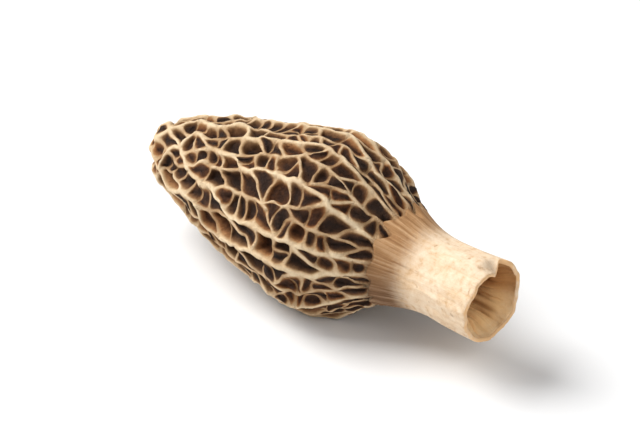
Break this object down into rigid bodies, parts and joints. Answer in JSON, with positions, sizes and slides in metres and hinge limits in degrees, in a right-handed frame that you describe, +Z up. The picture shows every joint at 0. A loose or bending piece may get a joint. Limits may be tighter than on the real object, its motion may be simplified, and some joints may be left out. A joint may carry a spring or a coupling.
{
  "type": "dried morel mushroom",
  "caption": "Dried morel mushroom lying on its side: a conical cap netted with ridges round deep pits, on a short pale hollow stem with an open cut end.",
  "frame": {"origin": "bottom centre of the object's box, on the surface it lies on", "axes": "+X along the mushroom from the tip of the cap to the open end of the stem, +Z up"},
  "size_m": [0.062, 0.0272, 0.0264],
  "materials": {
    "dried_flesh": "dry and matt: pale cream ridges and stem, dark brown pits"
  },
  "bodies": {
    "root": {"morel_mushroom": "dried_flesh"}
  },
  "joints": []
}
